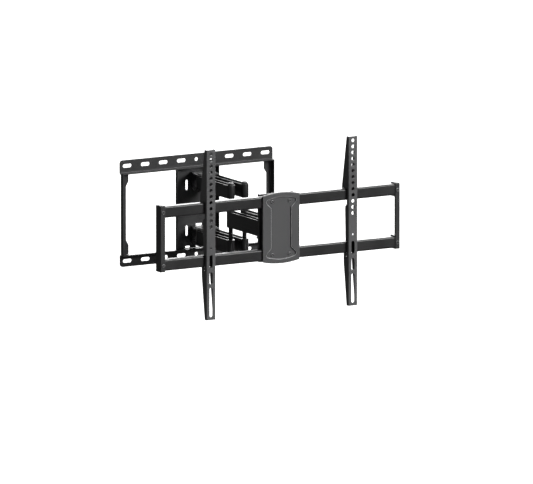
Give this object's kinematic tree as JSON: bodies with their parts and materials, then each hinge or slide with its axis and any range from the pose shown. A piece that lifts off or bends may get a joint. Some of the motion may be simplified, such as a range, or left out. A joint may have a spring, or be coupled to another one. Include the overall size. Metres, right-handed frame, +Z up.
{
  "type": "full motion tv wall mount",
  "caption": "Full motion television wall mount: slotted wall frame, two folding arms side by side, swivelling and tilting head, rail frame and two sliding TV brackets.",
  "frame": {"origin": "centre of the wall frame's back face, where it meets the wall", "axes": "+Z up, +X to the right seen from the television side, -Y out from the wall towards the television, +Y into the wall"},
  "size_m": [0.675, 0.424, 0.42],
  "materials": {
    "black_steel": "satin black powder coat",
    "grey_steel": "satin dark grey powder coat",
    "black_plastic": "moulded black plastic, fine texture",
    "black_nylon": "black nylon, matte",
    "black_fastener": "black oxide steel, lightly oiled"
  },
  "bodies": {
    "wall_frame": {"wall_rail_top": "black_steel", "wall_rail_bottom": "black_steel", "wall_side_left": "black_steel", "wall_side_right": "black_steel", "wall_column": "black_steel", "wall_bracket_upper": "black_steel", "wall_bracket_lower": "black_steel", "wall_hinge_pins": "black_fastener"},
    "upper_arm_left": {"upper_arm_left_top": "black_steel", "upper_arm_left_bottom": "black_steel", "elbow_bolt_left": "black_fastener", "elbow_nut_left": "black_fastener", "elbow_spacers_left": "black_steel", "elbow_washers_left": "black_nylon"},
    "upper_arm_right": {"upper_arm_right_top": "black_steel", "upper_arm_right_bottom": "black_steel", "elbow_bolt_right": "black_fastener", "elbow_nut_right": "black_fastener", "elbow_spacers_right": "black_steel", "elbow_washers_right": "black_nylon"},
    "forearm_left": {"forearm_left": "black_steel"},
    "forearm_right": {"forearm_right": "black_steel"},
    "yoke": {"head_yoke": "black_steel", "head_hinge_pins": "black_fastener", "head_washers": "black_nylon", "swivel_pin": "black_fastener"},
    "swivel": {"swivel_block": "black_steel", "tilt_bolts": "black_fastener"},
    "head": {"head_rear_plate": "black_steel", "head_front_plate": "grey_steel", "head_screws": "black_fastener", "head_nuts": "black_fastener", "rail_top": "black_steel", "rail_bottom": "black_steel", "end_bar_left": "black_plastic", "end_bar_right": "black_plastic", "end_screws": "black_fastener"},
    "bracket_left": {"tv_bracket_left": "grey_steel", "lock_plate_left": "black_steel", "lock_screw_left": "black_fastener"},
    "bracket_right": {"tv_bracket_right": "grey_steel", "lock_plate_right": "black_steel", "lock_screw_right": "black_fastener"}
  },
  "joints": [
    {"name": "arm_fold", "type": "hinge", "parent": "wall_frame", "child": "upper_arm_left", "pos_m": [-0.0195, -0.0555, 0.001], "axis": [0, 0, -1], "range_deg": [0, 70]},
    {"name": "wall_pivot_right", "type": "hinge", "parent": "wall_frame", "child": "upper_arm_right", "pos_m": [0.0195, -0.0555, 0.001], "axis": [0, 0, 1], "range_deg": [0, 70]},
    {"name": "elbow_left", "type": "hinge", "parent": "upper_arm_left", "child": "forearm_left", "pos_m": [-0.0195, -0.2055, 0.001], "axis": [0, 0, 1], "range_deg": [0, 140]},
    {"name": "elbow_right", "type": "hinge", "parent": "upper_arm_right", "child": "forearm_right", "pos_m": [0.0195, -0.2055, 0.001], "axis": [0, 0, -1], "range_deg": [0, 140]},
    {"name": "head_pivot_left", "type": "hinge", "parent": "forearm_left", "child": "yoke", "pos_m": [-0.0195, -0.3555, 0.001], "axis": [0, 0, -1], "range_deg": [0, 70]},
    {"name": "head_swivel", "type": "hinge", "parent": "yoke", "child": "swivel", "pos_m": [0, -0.3865, 0.01], "axis": [0, 0, 1], "range_deg": [-20, 20]},
    {"name": "head_tilt", "type": "hinge", "parent": "swivel", "child": "head", "pos_m": [0, -0.3865, 0.01], "axis": [-1, 0, 0], "range_deg": [-15, 5]},
    {"name": "bracket_slide_left", "type": "slide", "parent": "head", "child": "bracket_left", "axis": [1, 0, 0], "range_m": [-0.1, 0.1]},
    {"name": "bracket_slide_right", "type": "slide", "parent": "head", "child": "bracket_right", "axis": [1, 0, 0], "range_m": [-0.1, 0.1]}
  ],
  "couplings": [
    {"joint": "wall_pivot_right", "follows": "arm_fold", "ratio": 1},
    {"joint": "elbow_left", "follows": "arm_fold", "ratio": 2},
    {"joint": "elbow_right", "follows": "arm_fold", "ratio": 2},
    {"joint": "head_pivot_left", "follows": "arm_fold", "ratio": 1}
  ]
}
